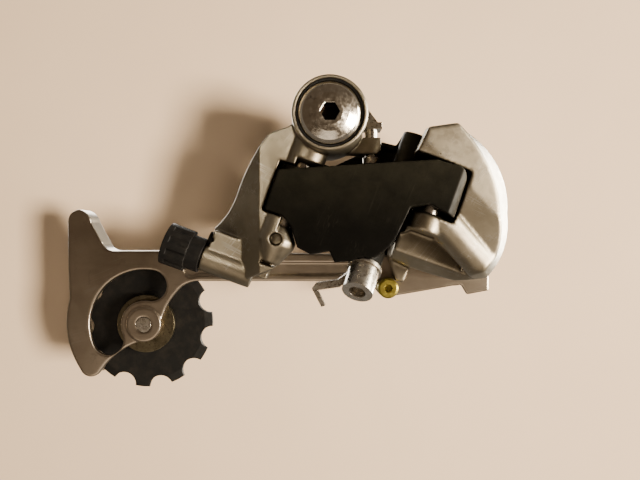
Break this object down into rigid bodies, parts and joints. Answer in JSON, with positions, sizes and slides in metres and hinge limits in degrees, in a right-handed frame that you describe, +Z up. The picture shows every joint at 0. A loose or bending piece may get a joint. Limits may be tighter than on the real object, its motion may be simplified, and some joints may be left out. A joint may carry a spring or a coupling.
{
  "type": "rear bicycle derailleur",
  "caption": "Long-cage rear bicycle derailleur: slanted parallelogram between a bracket knuckle and a sprung plate body that carries a two-pulley chain cage.",
  "frame": {"origin": "on the mounting bolt's axis at the plane where the hanger seats against the stopper plate", "axes": "+Y along the mounting bolt towards the wheel (inboard), +X towards the front of the bicycle, +Z up"},
  "size_m": [0.1462, 0.049, 0.0978],
  "materials": {
    "cast_aluminium": "satin, bead blasted and clear coated",
    "cage_steel": "polished steel, brown-grey plating",
    "chrome": "mirror chrome",
    "black_steel": "satin black",
    "black_resin": "moulded, matte",
    "nickel_steel": "nickel plated",
    "spring_steel": "oiled spring wire",
    "yellow_zinc": "yellow passivated zinc",
    "bronze": "sintered",
    "dark_resin": "moulded, worn"
  },
  "bodies": {
    "mount": {"mounting_bolt": "chrome", "stopper_plate": "nickel_steel", "bolt_circlip": "spring_steel"},
    "bracket": {"bracket_body": "cast_aluminium", "bracket_bushes": "bronze", "bracket_dust_ring": "black_resin", "bracket_spring": "spring_steel", "b_tension_screw": "nickel_steel", "low_limit_screw": "black_steel", "high_limit_screw": "black_steel", "outer_link_rear_pin": "nickel_steel", "inner_link_rear_pin": "nickel_steel", "adjuster_spring": "spring_steel"},
    "adjuster": {"adjusting_barrel": "nickel_steel", "adjuster_knob": "black_resin"},
    "outer_link": {"outer_link": "black_steel", "cable_anchor_bolt": "nickel_steel", "cable_clamp_plate": "nickel_steel", "return_spring": "spring_steel"},
    "inner_link": {"inner_link": "black_steel"},
    "plate_body": {"plate_body": "cast_aluminium", "outer_link_front_pin": "nickel_steel", "inner_link_front_pin": "nickel_steel", "plate_bushes": "bronze", "plate_spring": "spring_steel", "axle_screw": "nickel_steel", "plate_seal": "black_resin"},
    "cage": {"outer_plate": "cage_steel", "inner_plate": "cage_steel", "plate_axle": "nickel_steel", "cage_stop_pin": "yellow_zinc", "pulley_bolts": "nickel_steel", "pulley_bushes": "bronze", "guide_dust_caps": "black_steel", "tension_dust_caps": "black_steel"},
    "guide_pulley": {"guide_pulley": "dark_resin"},
    "tension_pulley": {"tension_pulley": "dark_resin"}
  },
  "joints": [
    {"name": "bracket_swing", "type": "hinge", "parent": "mount", "child": "bracket", "pos_m": [0, -0.012, 0], "axis": [0, 1, 0], "range_deg": [0, 40], "stiffness_Nm_per_rad": 0.6, "springref_deg": -45.84, "deforming": ["bracket_spring"]},
    {"name": "parallelogram_fold", "type": "hinge", "parent": "bracket", "child": "outer_link", "pos_m": [-0.01124, -0.015, -0.02358], "axis": [0.342, 0, 0.9397], "range_deg": [0, 52], "stiffness_Nm_per_rad": 0.8, "springref_deg": -34.38, "deforming": ["return_spring"]},
    {"name": "inner_link_fold", "type": "hinge", "parent": "bracket", "child": "inner_link", "pos_m": [-0.0202, -0.003, -0.01925], "axis": [0.342, 0, 0.9397], "range_deg": [0, 52]},
    {"name": "plate_body_swing", "type": "hinge", "parent": "outer_link", "child": "plate_body", "pos_m": [0.03195, -0.01918, -0.02121], "axis": [0.342, 0, 0.9397], "range_deg": [-52, 0]},
    {"name": "cage_swing", "type": "hinge", "parent": "plate_body", "child": "cage", "pos_m": [0.04113, 0.007, -0.03485], "axis": [0, -1, 0], "range_deg": [0, 110], "stiffness_Nm_per_rad": 0.35, "springref_deg": -85.94, "deforming": ["plate_spring"]},
    {"name": "guide_pulley_spin", "type": "hinge", "parent": "cage", "child": "guide_pulley", "pos_m": [0.02753, 0.0132, -0.03045], "axis": [0, 1, 0], "continuous": true},
    {"name": "tension_pulley_spin", "type": "hinge", "parent": "cage", "child": "tension_pulley", "pos_m": [-0.06187, 0.0132, -0.06475], "axis": [0, 1, 0], "continuous": true},
    {"name": "adjuster_turn", "type": "hinge", "parent": "bracket", "child": "adjuster", "pos_m": [-0.05018, -0.01, -0.03729], "axis": [0.9397, 0, -0.342], "range_deg": [-360, 360]}
  ],
  "couplings": [
    {"joint": "inner_link_fold", "follows": "parallelogram_fold", "ratio": 1},
    {"joint": "plate_body_swing", "follows": "parallelogram_fold", "ratio": -1}
  ]
}
